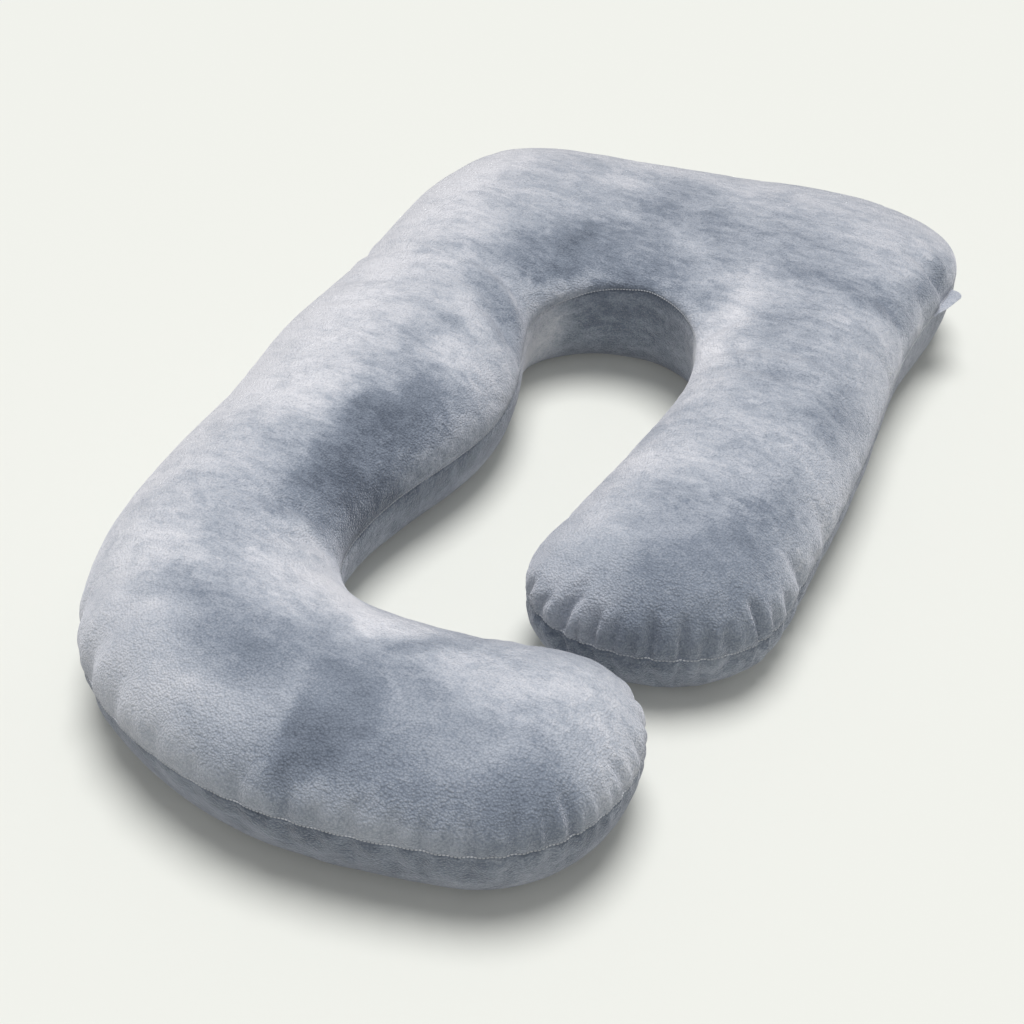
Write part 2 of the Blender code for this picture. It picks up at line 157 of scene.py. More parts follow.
# Creases over the crown, in plan: each starts at its root near an edge and fades out at its
# far end. A negative depth is a ridge.
Crease = namedtuple("Crease", "from_x from_y via_x via_y to_x to_y depth width")
CREASES = (
    # Between the top bar and the belly of the long arm.
    Crease(-0.080, 0.150, -0.135, 0.225, -0.275, 0.215, 0.0060, 0.012),
    Crease(-0.080, 0.140, -0.125, 0.185, -0.180, 0.175, 0.0080, 0.011),
    Crease(-0.095, 0.220, -0.155, 0.280, -0.255, 0.255, 0.0050, 0.011),
    Crease(-0.090, 0.190, -0.150, 0.255, -0.230, 0.245, -0.0030, 0.009),
    # Across the long arm, out to its notch.
    Crease(-0.385, 0.160, -0.330, 0.155, -0.240, 0.165, 0.0026, 0.009),
    Crease(-0.380, 0.090, -0.310, 0.095, -0.240, 0.115, 0.0030, 0.009),
    Crease(-0.385, 0.010, -0.330, 0.000, -0.260, 0.030, 0.0020, 0.009),
    # Round the tight inner bend of the hook.
    Crease(-0.105, -0.285, -0.160, -0.320, -0.300, -0.345, 0.0045, 0.012),
    Crease(-0.095, -0.310, -0.125, -0.365, -0.190, -0.395, 0.0040, 0.010),
    Crease(-0.085, -0.335, -0.085, -0.400, -0.110, -0.460, 0.0035, 0.010),
    # Round the inner corner of the short arm and across it.
    Crease(0.145, 0.240, 0.180, 0.285, 0.235, 0.370, 0.0045, 0.011),
    Crease(0.160, 0.215, 0.260, 0.270, 0.420, 0.235, 0.0045, 0.012),
    Crease(0.200, 0.195, 0.305, 0.185, 0.420, 0.200, 0.0035, 0.011),
    Crease(0.420, 0.400, 0.370, 0.450, 0.290, 0.455, 0.0055, 0.013),
    Crease(0.425, 0.335, 0.380, 0.330, 0.325, 0.315, 0.0035, 0.011),
    Crease(0.430, 0.040, 0.400, 0.060, 0.355, 0.095, -0.0030, 0.013),
    # Running in to the root of the flap.
    Crease(0.425, 0.580, 0.395, 0.555, 0.345, 0.590, 0.0125, 0.011),
    Crease(0.420, 0.602, 0.395, 0.590, 0.350, 0.620, -0.0050, 0.006),
    Crease(0.420, 0.612, 0.410, 0.625, 0.380, 0.650, -0.0030, 0.006),
    Crease(0.425, 0.500, 0.395, 0.500, 0.330, 0.540, 0.0045, 0.011),
)
CREASE_STEPS = 28
CREASE_ROOT_STRENGTH = 0.6
CREASE_CUT_OFF = 3

# Fineness of the cover: rib spacing along the longer edge, ribs round each end, rings close
# to the seam by their distance from it, and the number of even rings beyond those.
Fineness = namedtuple("Fineness", "rib_spacing end_ribs seam_rings upper_rings lower_rings")
FINE = Fineness(0.0056, 93, (
    0.0005, 0.0010, 0.0016, 0.0024, 0.0034, 0.0047, 0.0064, 0.0085, 0.0112, 0.0145, 0.0185, 0.0230,
    0.0280, 0.0335, 0.0395,
), 21, 9)
COARSE = Fineness(0.0080, 65, (0.005, 0.010, 0.016, 0.022, 0.029, 0.036, 0.044, 0.052, 0.061), 12, 4)
TINY = 1e-9
SPLINE_SAMPLES = 4000
PROFILE_SAMPLES = 240
UNDER_SHARES = (0.75, 0.4)

# Cloth simulation of the cover: the panels carry more cloth along the seam than the seam's
# own length, most of it round the ends, and the filling presses it out.
SIM_FRAMES = 18
SIM_QUALITY = 6
SIM_CLOTH = {
    "mass": 0.3,
    "tension_stiffness": 40,
    "compression_stiffness": 40,
    "shear_stiffness": 12,
    "bending_stiffness": 0.4,
    "uniform_pressure_force": 3.0,
}
SIM_SPARE_CLOTH = 0.13
SIM_FREE_REACH = 0.085
SIM_HELD_REACH = 0.130

# Where the spare cloth is, along the seam from the tip of the hook or of the short arm: its
# middle, how far it runs in full to both sides, how far it fades from there, and its share.
Spare = namedtuple("Spare", "middle full fade share")
HOOK_SPARE = Spare(0.05, 0.22, 0.35, 0.45)
SHORT_SPARE = Spare(0.06, 0.16, 0.16, 1.0)
LEAST_SPARE = 0.04

# What is taken over from the simulation: moves up to this size, less the swelling averaged
# over so many ribs, and less of them close to the stitches.
SIM_MOST_MOVE = 0.016
SIM_SWELL_RIBS = 13
SIM_SWELL_PASSES = 2
SIM_STRENGTH = 0.90
SIM_AT_SEAM = 0.40
SIM_SEAM_REACH = 0.014

# The lie of the nap in plan, with painted shade and painted highlights laid in among its patches:
# shade below zero is darker. Each patch is an ellipse, turn is the angle of its long side from +X
# in degrees, and edge is how firm its border is.
SOFT_EDGE = 1.5
FIRM_EDGE = 4.0
Patch = namedtuple("Patch", "x y long short turn shade edge", defaults=(SOFT_EDGE,))
NAP_AND_PAINTED_SHADING_PATCHES = (
    # Painted shade on the inner side of the long arm, which faces away from the lamp.
    Patch(-0.130, -0.160, 0.160, 0.065, 95, -0.44),
    Patch(-0.100, -0.070, 0.070, 0.040, 80, -0.14),
    Patch(-0.120, -0.260, 0.080, 0.060, 90, -0.14),
    Patch(-0.135, 0.195, 0.070, 0.030, -20, -0.28),
    Patch(-0.110, 0.345, 0.100, 0.050, 60, -0.32),
    Patch(-0.200, 0.480, 0.080, 0.050, 45, 0.05),
    Patch(-0.170, 0.585, 0.080, 0.050, 20, 0.06),
    Patch(-0.020, 0.520, 0.100, 0.050, 100, -0.18),
    Patch(0.030, 0.570, 0.080, 0.050, -45, -0.16),
    Patch(0.180, 0.500, 0.130, 0.080, 10, -0.24),
    Patch(0.335, 0.445, 0.090, 0.030, -5, -0.26),
    Patch(0.260, 0.360, 0.100, 0.050, 90, -0.15),
    # Painted shadow in the hollow beside the flap.
    Patch(0.395, 0.545, 0.075, 0.026, 80, -0.34),
    Patch(0.290, 0.250, 0.100, 0.040, -15, -0.12),
    Patch(0.375, 0.160, 0.050, 0.040, 60, -0.22),
    Patch(0.290, 0.150, 0.060, 0.050, 90, -0.18),
    Patch(0.250, 0.050, 0.070, 0.050, 100, 0.04),
    Patch(0.335, -0.215, 0.150, 0.085, 57, -0.20, FIRM_EDGE),
    Patch(0.290, -0.225, 0.120, 0.090, 20, -0.13),
    Patch(0.375, -0.060, 0.090, 0.050, 80, -0.20),
    Patch(-0.180, -0.490, 0.090, 0.030, 0, -0.24),
    Patch(0.000, -0.515, 0.110, 0.045, 5, -0.25),
    Patch(0.090, -0.450, 0.060, 0.025, 30, -0.22),
    Patch(-0.090, -0.555, 0.070, 0.040, -20, -0.28),
    Patch(0.055, -0.585, 0.085, 0.055, 85, -0.20, FIRM_EDGE),
    Patch(0.130, -0.535, 0.070, 0.035, 0, -0.10),
    Patch(-0.190, -0.575, 0.060, 0.040, 0, -0.15),
    Patch(0.290, -0.580, 0.070, 0.050, 45, -0.20),
    Patch(-0.040, 0.410, 0.120, 0.060, 0, -0.22),
    Patch(-0.180, 0.080, 0.050, 0.025, 90, -0.20),
    Patch(-0.260, -0.220, 0.100, 0.040, 0, -0.10),
    Patch(-0.210, -0.070, 0.080, 0.050, 60, 0.06),
    Patch(-0.250, 0.270, 0.060, 0.020, 10, -0.12),
    # Painted highlight along the outer flank of the long arm, where its sheen catches the light.
    Patch(-0.385, 0.050, 0.600, 0.100, 90, 0.32),
    Patch(-0.270, 0.150, 0.520, 0.070, 90, 0.13),
    # Painted shade along the inner seam of the U.
    Patch(0.020, 0.340, 0.120, 0.045, 5, -0.32),
    Patch(0.130, -0.610, 0.220, 0.070, 10, -0.22),
    Patch(-0.080, -0.370, 0.070, 0.035, -30, 0.20),
    Patch(-0.230, -0.560, 0.100, 0.060, -35, 0.14),
    Patch(0.150, 0.070, 0.180, 0.045, 92, 0.17),
    Patch(0.060, -0.620, 0.140, 0.040, 5, -0.12),
    Patch(0.000, 0.560, 0.250, 0.080, -5, 0.03),
    Patch(-0.330, 0.550, 0.150, 0.080, 70, 0.22),
    Patch(0.000, 0.680, 0.350, 0.045, 3, 0.15),
    Patch(0.330, 0.640, 0.100, 0.080, -30, 0.08),
    Patch(0.175, 0.280, 0.120, 0.035, 95, 0.17),
    Patch(-0.120, 0.045, 0.050, 0.040, 90, 0.10),
    Patch(-0.140, 0.140, 0.060, 0.020, -25, 0.10),
    Patch(0.310, 0.100, 0.050, 0.040, 90, 0.06),
    Patch(0.275, -0.100, 0.080, 0.070, 50, -0.14),
    Patch(-0.020, -0.420, 0.120, 0.030, -5, 0.30),
    Patch(-0.200, -0.375, 0.100, 0.040, -30, -0.06),
    Patch(-0.260, -0.460, 0.060, 0.050, 0, 0.14),
    Patch(0.200, -0.440, 0.100, 0.050, 0, 0.06),
    Patch(0.230, -0.510, 0.070, 0.040, 0, -0.06),
    Patch(-0.080, -0.600, 0.100, 0.040, -20, 0.12),
    Patch(0.190, -0.080, 0.100, 0.060, 80, 0.10),
    Patch(-0.190, -0.270, 0.080, 0.040, 90, -0.10),
    Patch(-0.400, -0.300, 0.200, 0.060, 90, 0.14),
)
# Patches of the lower panel, most of them painted shade: darker on the front of the hook, the inner walls
# and the short arm's outer side, and lighter on the two side walls of the U.
LOWER_NAP_AND_PAINTED_SHADE_PATCHES = (
    Patch(-0.330, -0.560, 0.200, 0.120, -50, -0.20),
    Patch(0.050, -0.680, 0.320, 0.110, -2, -0.22),
    Patch(0.360, -0.520, 0.120, 0.100, 60, -0.16),
    Patch(0.250, -0.260, 0.160, 0.100, 0, -0.18),
    Patch(-0.070, -0.120, 0.260, 0.060, 90, -0.16),
    Patch(0.030, 0.330, 0.130, 0.080, 0, -0.20),
    Patch(0.430, 0.150, 0.450, 0.060, 90, -0.12),
    Patch(-0.095, 0.230, 0.070, 0.040, 80, 0.40),
    Patch(0.145, 0.240, 0.070, 0.040, 110, 0.40),
    Patch(-0.060, 0.000, 0.120, 0.030, 90, 0.06),
)

# Two sizes of waver that draw the patches out of round, each with how far it moves them.
PATCH_WAVER = ((0.080, 0.030), (0.028, 0.012))
WAVER_SEEDS = (2.3, 7.9)
NAP_MIDDLE = 0.625
# The lower panel's middle is painted darker than the upper panel's, as shade on the cloth that faces
# down, and it grows lighter away from the seam, towards the floor.
LOWER_PANEL_NAP_WITH_PAINTED_SHADE = 0.44
LOWER_PANEL_LIGHTER = 0.07
LOWER_PANEL_FADE = 0.09

# The mottling is calmer on the front of the hook and on the short arm's end.
MOTTLE_CALM = 0.55
MOTTLE_LOWER_PANEL = 1.1
MOTTLE_FLAP = 0.5
CALM_HOOK_FROM_Y = -0.44
CALM_SHORT_FROM_Y = -0.06
CALM_SHORT_TO_Y = -0.33
CALM_SHORT_FROM_X = 0.08
CALM_FADE_Y = 0.12
CALM_FADE_X = 0.04

# Stitches of the seam: a light thread lying on a ring of the upper panel close to its edge.
# The shape of a stitch is pairs of its place along the stitch and its share of the radius.
STITCH_PITCH = 0.0043
STITCH_LENGTH = 0.0033
STITCH_RADIUS = 0.00095
STITCH_LIFT = 0.0005
STITCH_RING = 3
STITCH_SIDES = 6
STITCH_SHAPE = ((-0.50, 0.35), (-0.36, 0.85), (0.00, 1.00), (0.36, 0.85), (0.50, 0.35))

# The flap: a leaf of doubled plush caught in the seam.
FLAP_FROM = 2.918
FLAP_LENGTH = 0.078
FLAP_REACH = 0.021
FLAP_SHOULDER = 0.26
FLAP_THICKNESS = 0.0034
FLAP_LIFT = 0.004
FLAP_SECTIONS = 48
FLAP_STEPS = 14
FLAP_EDGE_STEPS = 6
FLAP_WAVE = 0.0016
FLAP_WAVE_TURNS = 7.0
FLAP_RIM = 0.0012
FLAP_RISE_POWER = 1.5
FLAP_LEAST_PLUMP = 0.35
FLAP_FULL_PLACE = 1.15
FLAP_FULL_SKEW = 0.8
FLAP_FULL_POWER = 0.6

# Soft unevenness of the filling and fine puckers beside the seam.
LUMPS = ((0.0030, 0.170), (0.0014, 0.060), (0.0004, 0.020))
PUCKER_DEPTH = 0.0011
PUCKER_LENGTH = 0.011
PUCKER_REACH = 0.020
PUCKER_SEED = 8.1


def natural_spline(knots, values, places):
    """Natural cubic spline through the rows of values, and its slope, at the places."""
    step = np.diff(knots)[:, None]
    count = len(knots)
    matrix = np.eye(count)
    target = np.zeros_like(values)
    for k in range(1, count - 1):
        matrix[k, k - 1] = step[k - 1, 0]
        matrix[k, k] = 2 * (step[k - 1, 0] + step[k, 0])
        matrix[k, k + 1] = step[k, 0]
        rise = (values[k + 1] - values[k]) / step[k]
        target[k] = 6 * (rise - (values[k] - values[k - 1]) / step[k - 1])
    bend = np.linalg.solve(matrix, target)
    span = np.clip(np.searchsorted(knots, places) - 1, 0, count - 2)
    width = step[span]
    left = (knots[span + 1] - places)[:, None] / width
    right = 1 - left
    bulge = ((left**3 - left) * bend[span] + (right**3 - right) * bend[span + 1]) * width**2 / 6
    lean = ((1 - 3 * left**2) * bend[span] + (3 * right**2 - 1) * bend[span + 1]) * width / 6
    place = left * values[span] + right * values[span + 1] + bulge
    slope = (values[span + 1] - values[span]) / width + lean
    return place, slope


def unit(vectors):
    """The vectors, each scaled to a length of 1."""
    return vectors / np.linalg.norm(vectors, axis=1)[:, None]


def smooth_step(value):
    """From 0 at 0 to 1 at 1, level at both ends."""
    value = np.clip(value, 0, 1)
    return value * value * (3 - 2 * value)


def section_stations(rib_spacing):
    """Sections read off the spline, evenly spaced along the longer of the two edges."""
    table = np.array(SECTIONS, dtype=float)
    middles = (table[:, 0:2] + table[:, 2:4]) / 2
    knots = np.concatenate(([0.0], np.cumsum(np.linalg.norm(np.diff(middles, axis=0), axis=1))))
    fine = np.linspace(0, knots[-1], SPLINE_SAMPLES)
    trial, _ = natural_spline(knots, table, fine)
    outer_step = np.linalg.norm(np.diff(trial[:, 0:2], axis=0), axis=1)
    inner_step = np.linalg.norm(np.diff(trial[:, 2:4], axis=0), axis=1)
    turns = np.concatenate(([0.0], np.cumsum(np.maximum(outer_step, inner_step) / rib_spacing)))
    count = int(round(turns[-1])) + 1
    places = np.interp(np.linspace(0, turns[-1], count), turns, fine)
    return natural_spline(knots, table, places)


Ribs = namedtuple("Ribs", "centre way half crown seam along spine length short_tip")


def cushion_ribs(fineness):
    """Every rib, from the hook along the outer edge, round the short end and back inside."""
    stations, slopes = section_stations(fineness.rib_spacing)
    end_ribs = fineness.end_ribs
    count = len(stations)
    outer = stations[:, 0:2]
    inner = stations[:, 2:4]
    centre = (outer + inner) / 2
    heading = unit(slopes[:, 0:2] + slopes[:, 2:4])
    turn = np.linspace(0, np.pi, end_ribs + 2)[1:-1]
    across = np.sign(np.cos(turn)) * np.abs(np.cos(turn)) ** CAP_FULLNESS
    ahead = np.sin(turn) ** CAP_FULLNESS
    blend = (1 - np.cos(turn)) / 2

    def cap(index, side, direction, length):
        sideways = np.outer(across, side[index] - centre[index])
        return centre[index] + sideways + np.outer(ahead * length, direction)

    short_cap = cap(-1, outer, heading[-1], SHORT_CAP_LENGTH)
    hook_cap = cap(0, inner, -heading[0], HOOK_CAP_LENGTH)
    edge = np.concatenate((outer, short_cap, inner[::-1], hook_cap))
    order = np.arange(count)
    last = np.full(end_ribs, count - 1)
    spine = np.concatenate((order, last, order[::-1], np.zeros(end_ribs, dtype=int)))
    seam = np.concatenate((
        stations[:, 5],
        stations[-1, 5] + (stations[-1, 6] - stations[-1, 5]) * blend,
        stations[::-1, 6],
        stations[0, 6] + (stations[0, 5] - stations[0, 6]) * blend,
    ))
    half = np.linalg.norm(edge - centre[spine], axis=1)
    run = np.concatenate(([0.0], np.cumsum(np.linalg.norm(np.diff(edge, axis=0), axis=1))))
    length = run[-1] + np.linalg.norm(edge[0] - edge[-1])
    hook_tip = run[2 * count + end_ribs + end_ribs // 2]
    short_tip = run[count + end_ribs // 2]
    return Ribs(
        centre=centre[spine],
        way=(edge - centre[spine]) / half[:, None],
        half=half,
        crown=stations[spine, 4],
        seam=seam,
        along=(run - hook_tip) % length,
        spine=spine,
        length=length,
        short_tip=(short_tip - hook_tip) % length,
    )


Rings = namedtuple("Rings", "out height face_out face_up from_seam")


def panel_rings(ribs, fineness, lower):
    """Rings of one panel, spaced by their distance from the seam along every rib's profile."""
    share = np.linspace(0, 1, PROFILE_SAMPLES)[:, None]
    if lower:
        angle = share * np.pi / 2
        radius = np.minimum(LOWER_EDGE_RADIUS, LOWER_EDGE_MOST * ribs.half)
        out = ribs.half - radius * (1 - np.cos(angle))
        height = ribs.seam * (1 - np.sin(angle))
        face_out = np.cos(angle) * ribs.seam
        face_up = -np.sin(angle) * radius
        rings = fineness.lower_rings
    else:
        angle = np.pi / 2 * (1 - share**2)
        rise = ribs.crown - ribs.seam
        out = ribs.half * np.sin(angle)
        height = ribs.seam + rise * np.maximum(np.cos(angle), 0.0) ** CROWN_FULLNESS
        face_out = np.sin(angle) * rise
        face_up = np.cos(angle) * ribs.half
        rings = fineness.upper_rings
    size = np.hypot(face_out, face_up)
    step = np.hypot(np.diff(out, axis=0), np.diff(height, axis=0))
    run = np.concatenate((np.zeros((1, len(ribs.half))), np.cumsum(step, axis=0)))
    close = fineness.seam_rings
    count = len(close) + rings + 1
    fields = np.zeros((5, count, len(ribs.half)))
    even = np.linspace(0, 1, rings + 1)[1:]
    for rib in range(len(ribs.half)):
        total = run[-1, rib]
        near = np.minimum(close, np.linspace(0, 0.5, len(close) + 1)[1:] * total)
        goal = np.concatenate(([0.0], near, near[-1] + (total - near[-1]) * even))
        values = (out, height, face_out / size, face_up / size)
        for field, value in enumerate(values):
            fields[field, :, rib] = np.interp(goal, run[:, rib], value[:, rib])
        fields[4, :, rib] = goal
    return Rings(*fields)


def line_noise(places, length, period, seed):
    """Smooth noise along the closed seam, from -1 to 1, that meets itself after one period."""
    turn = 2 * np.pi * places / period
    radius = period / (2 * np.pi) / length
    values = [noise.noise(Vector((radius * np.cos(a), radius * np.sin(a), seed))) for a in turn]
    return np.array(values)


def gather_depth(ribs, from_seam, lower):
    """How far the gathers pull the cloth in at every ring and rib."""
    depth = np.zeros_like(from_seam)
    rise = GATHER_AT_SEAM + (1 - GATHER_AT_SEAM) * from_seam / (from_seam + GATHER_RISE)
    for gather in GATHERS:
        offset = ribs.along if gather.end == "hook" else ribs.short_tip - ribs.along
        offset = (offset - gather.along + ribs.length / 2) % ribs.length - ribs.length / 2
        near = np.abs(offset) < GATHER_CUT_OFF * gather.width + abs(gather.lean)
        reach = min(gather.reach, LOWER_GATHER_REACH) if lower else gather.reach * GATHER_LONGER
        strength = GATHER_STRENGTH[gather.end] * (LOWER_GATHER_SHARE if lower else 1.0)
        distance = from_seam[:, near]
        fade = 1 - smooth_step(distance / reach)
        widening = GATHER_NARROW + GATHER_WIDENING * distance / reach
        place = (offset[near] - gather.lean * distance / reach) / (gather.width * widening)
        beside = (np.abs(place) - GATHER_SHOULDER_PLACE) / GATHER_SHOULDER_WIDTH
        valley = np.exp(-(place**2)) - GATHER_SHOULDER * np.exp(-(beside**2))
        depth[:, near] += strength * gather.depth * rise[:, near] * fade * valley
    return depth


def crease_depth(plan):
    """How far the creases over the crown dip at the plan points."""
    depth = np.zeros(len(plan))
    t = np.linspace(0, 1, CREASE_STEPS)[:, None]
    strength = np.sin(np.pi * t[:, 0] ** CREASE_ROOT_STRENGTH)
    for crease in CREASES:
        start = np.array((crease.from_x, crease.from_y))
        via = np.array((crease.via_x, crease.via_y))
        end = np.array((crease.to_x, crease.to_y))
        path = (1 - t) ** 2 * start + 2 * t * (1 - t) * via + t**2 * end
        margin = CREASE_CUT_OFF * crease.width
        near = np.all((plan > path.min(axis=0) - margin) & (plan < path.max(axis=0) + margin), axis=1)
        distance = np.linalg.norm(plan[near][:, None, :] - path[None, :, :], axis=2)
        shape = strength[None, :] * np.exp(-((distance / crease.width) ** 2))
        depth[near] += crease.depth * shape.max(axis=1)
    return depth


def lump_height(points):
    """Soft unevenness of the filling at the points."""
    height = np.zeros(len(points))
    for amount, size in LUMPS:
        height += amount * np.array([noise.noise(Vector(point) / size) for point in points])
    return height


def panel_points(ribs, rings, lower, move=None):
    """Points of one panel's rings, drawn in by the seam, gathers, creases and lumps."""
    distance = rings.from_seam
    plan = ribs.centre[None] + ribs.way[None] * rings.out[:, :, None]
    height = rings.height.copy()
    depth = SEAM_DRAW * np.exp(-((distance / SEAM_SPREAD) ** 2))
    depth += gather_depth(ribs, distance, lower)
    if move is not None:
        waver = SEAM_WAVER * line_noise(ribs.along, SEAM_WAVER_LENGTH, ribs.length, SEAM_WAVER_SEED)
        pucker = line_noise(ribs.along, PUCKER_LENGTH, ribs.length, PUCKER_SEED)
        height += waver[None] * np.exp(-((distance / SEAM_WAVER_REACH) ** 2))
        depth += GROOVE_DEPTH * np.exp(-((distance / GROOVE_SPREAD) ** 2))
        depth -= LIP_HEIGHT * np.exp(-(((distance - LIP_PLACE) / LIP_SPREAD) ** 2))
        fade = np.exp(-((distance / PUCKER_REACH) ** 2)) * distance / (distance + LIP_PLACE)
        depth += PUCKER_DEPTH * pucker[None] * fade
    flat = np.concatenate((plan, height[:, :, None]), axis=2).reshape(-1, 3)
    soft = (distance / (distance + GATHER_RISE)).reshape(-1)
    extra = -lump_height(flat) * soft
    if not lower:
        extra += crease_depth(flat[:, 0:2]) * soft
    depth += extra.reshape(depth.shape)
    if lower:
        depth *= np.clip(rings.height / LOWER_CALM_HEIGHT, 0, 1)
    plan -= ribs.way[None] * (depth * rings.face_out)[:, :, None]
    points = np.concatenate((plan, (height - depth * rings.face_up)[:, :, None]), axis=2)
    if move is not None:
        points += move
    points[:, :, 2] = np.maximum(points[:, :, 2], 0.0)
    return points


def mesh_piece(name, points, faces):
    """A new smooth mesh in the scene."""
    mesh = bpy.data.meshes.new(name)
    mesh.from_pydata([tuple(point) for point in points], [], faces)
    piece = bpy.data.objects.new(name, mesh)
    bpy.context.scene.collection.objects.link(piece)
    build = bmesh.new()
    build.from_mesh(mesh)
    bmesh.ops.recalc_face_normals(build, faces=build.faces[:])
    build.to_mesh(mesh)
    build.free()
    mesh.shade_smooth()
    return piece


Grid = namedtuple("Grid", "piece upper_rows lower_rows")


def cover_piece(name, ribs, upper, lower):
    """The cover as one closed mesh, from the spine over the seam to the flat underside."""
    foot = lower[-1].copy()
    foot[:, 2] = 0.0
    under = np.column_stack((ribs.centre, np.zeros(len(ribs.half))))
    rows = list(upper[-2::-1]) + list(lower[1:-1]) + [foot]
    rows += [under + (foot - under) * share for share in UNDER_SHARES]
    count = len(ribs.half)
    stations = ribs.spine.max() + 1
    first = np.array([np.nonzero(ribs.spine == k)[0][0] for k in range(stations)])
    points = np.concatenate([upper[-1][first]] + rows + [under[first]])
    points -= np.array((MIDDLE_X, MIDDLE_Y, 0.0))
    ids = np.arange(count)
    after = (ids + 1) % count
    starts = [stations + k * count for k in range(len(rows))]
    lines = [ribs.spine] + [start + ids for start in starts] + [starts[-1] + count + ribs.spine]
    faces = []
    for here, there in zip(lines[:-1], lines[1:]):
        for quad in zip(here, there, there[after], here[after]):
            corners = [int(corner) for corner in dict.fromkeys(quad)]
            if len(corners) > 2:
                faces.append(corners)
    piece = mesh_piece(name, points, faces)
    seam_line = len(upper) - 1
    upper_rows = [lines[k] for k in range(seam_line, -1, -1)]
    lower_rows = [lines[seam_line + k] for k in range(len(lower))]
    return Grid(piece, np.array(upper_rows), np.array(lower_rows))


def spare_cloth(ribs):
    """Share of spare cloth at each rib, from the least on straight runs to 1 round the ends."""
    from_hook = (ribs.along + ribs.length / 2) % ribs.length - ribs.length / 2
    from_short = ribs.short_tip - ribs.along
    share = np.full(len(ribs.along), LEAST_SPARE)
    for along, spare in ((from_hook, HOOK_SPARE), (from_short, SHORT_SPARE)):
        beyond = np.abs(along - spare.middle) - spare.full
        share = np.maximum(share, spare.share * (1 - smooth_step(beyond / spare.fade)))
    return share


def simulated_move(ribs):
    """How far cloth simulation moves each point of a coarse cover, as one grid a panel."""
    rings = [panel_rings(ribs, COARSE, lower) for lower in (False, True)]
    panels = [panel_points(ribs, rings[lower], lower) for lower in (False, True)]
    grid = cover_piece("simulated_cover", ribs, *panels)
    piece = grid.piece
    mesh = piece.data
    start = np.array([vertex.co for vertex in mesh.vertices])
    held = np.ones(len(start))
    spare = np.zeros(len(start))
    share = spare_cloth(ribs)
    for rows, ring in ((grid.upper_rows, rings[0]), (grid.lower_rows[:-1], rings[1])):
        for row, distance in zip(rows, ring.from_seam):
            far = (distance - SIM_FREE_REACH) / (SIM_HELD_REACH - SIM_FREE_REACH)
            held[row] = smooth_step(far)
            spare[row] = share * (1 - smooth_step(distance / SIM_FREE_REACH))
    held[grid.upper_rows[0]] = 1.0
    pin = piece.vertex_groups.new(name="held")
    snug = piece.vertex_groups.new(name="snug")
    for index in range(len(start)):
        pin.add([index], float(held[index]), "REPLACE")
        snug.add([index], float(1 - spare[index]), "REPLACE")
    cloth = piece.modifiers.new("cloth", "CLOTH")
    settings = cloth.settings
    settings.quality = SIM_QUALITY
    settings.effector_weights.gravity = 0
    settings.use_pressure = True
    for name, value in SIM_CLOTH.items():
        setattr(settings, name, value)
    settings.vertex_group_mass = "held"
    settings.pin_stiffness = 1.0
    settings.vertex_group_shrink = "snug"
    settings.shrink_min = -SIM_SPARE_CLOTH
    settings.shrink_max = 0.0
    cloth.collision_settings.use_collision = False
    cloth.collision_settings.use_self_collision = False
    cloth.point_cache.frame_start = 1
    cloth.point_cache.frame_end = SIM_FRAMES
    scene = bpy.context.scene
    for frame_number in range(1, SIM_FRAMES + 1):
        scene.frame_set(frame_number)
    done = piece.evaluated_get(bpy.context.evaluated_depsgraph_get()).to_mesh()
    end = np.array([vertex.co for vertex in done.vertices])
    move = end - start
    size = np.linalg.norm(move, axis=1)
    move *= (np.minimum(size, SIM_MOST_MOVE) / np.maximum(size, TINY))[:, None]
    scene.frame_set(1)
    bpy.data.objects.remove(piece, do_unlink=True)
    moves = []
    for rows in (grid.upper_rows, grid.lower_rows):
        panel = move[rows]
        moves.append(SIM_STRENGTH * (panel - swell(panel)))
    return list(zip(rings, moves))


def swell(panel):
    """The broad swelling in the moves, averaged along the seam, apart from the gathers."""
    window = np.arange(-SIM_SWELL_RIBS // 2 + 1, SIM_SWELL_RIBS // 2 + 1)
    for _ in range(SIM_SWELL_PASSES):
        panel = sum(np.roll(panel, shift, axis=1) for shift in window) / len(window)
    return panel


def cubic_weights(position, count, closed):
    """Four neighbours and their weights of a smooth curve through evenly spaced values."""
    base = np.floor(position).astype(int)
    t = position - base
    index = base[None] + np.arange(-1, 3)[:, None]
    index = index % count if closed else np.clip(index, 0, count - 1)
    weight = np.array((
        (-t + 2 * t**2 - t**3) / 2, (2 - 5 * t**2 + 3 * t**3) / 2,
        (t + 4 * t**2 - 3 * t**3) / 2, (-(t**2) + t**3) / 2,
    ))
    return index, weight


def finer_move(coarse, fine, coarse_rings, fine_rings, move):
    """The coarse grid's moves read off at every point of the finer grid."""
    small = coarse.spine.max()
    large = fine.spine.max()
    small_end = COARSE.end_ribs + 1
    large_end = FINE.end_ribs + 1
    side = np.arange(large + 1) * small / large
    end = np.arange(1, large_end) * small_end / large_end
    place = np.concatenate((
        side, small + end, small + small_end + side, 2 * small + small_end + end,
    ))
    count = len(coarse.spine)
    index, weight = cubic_weights(place, count, closed=True)
    across = sum(weight[k][None, :, None] * move[:, index[k]] for k in range(4))
    distance = sum(weight[k][None, :] * coarse_rings.from_seam[:, index[k]] for k in range(4))
    result = np.zeros(fine_rings.from_seam.shape + (3,))
    levels = np.arange(len(distance))
    for rib in range(len(fine.spine)):
        level = np.interp(fine_rings.from_seam[:, rib], distance[:, rib], levels)
        rows, share = cubic_weights(level, len(distance), closed=False)
        result[:, rib] = sum(share[k][:, None] * across[rows[k], rib] for k in range(4))
    return result


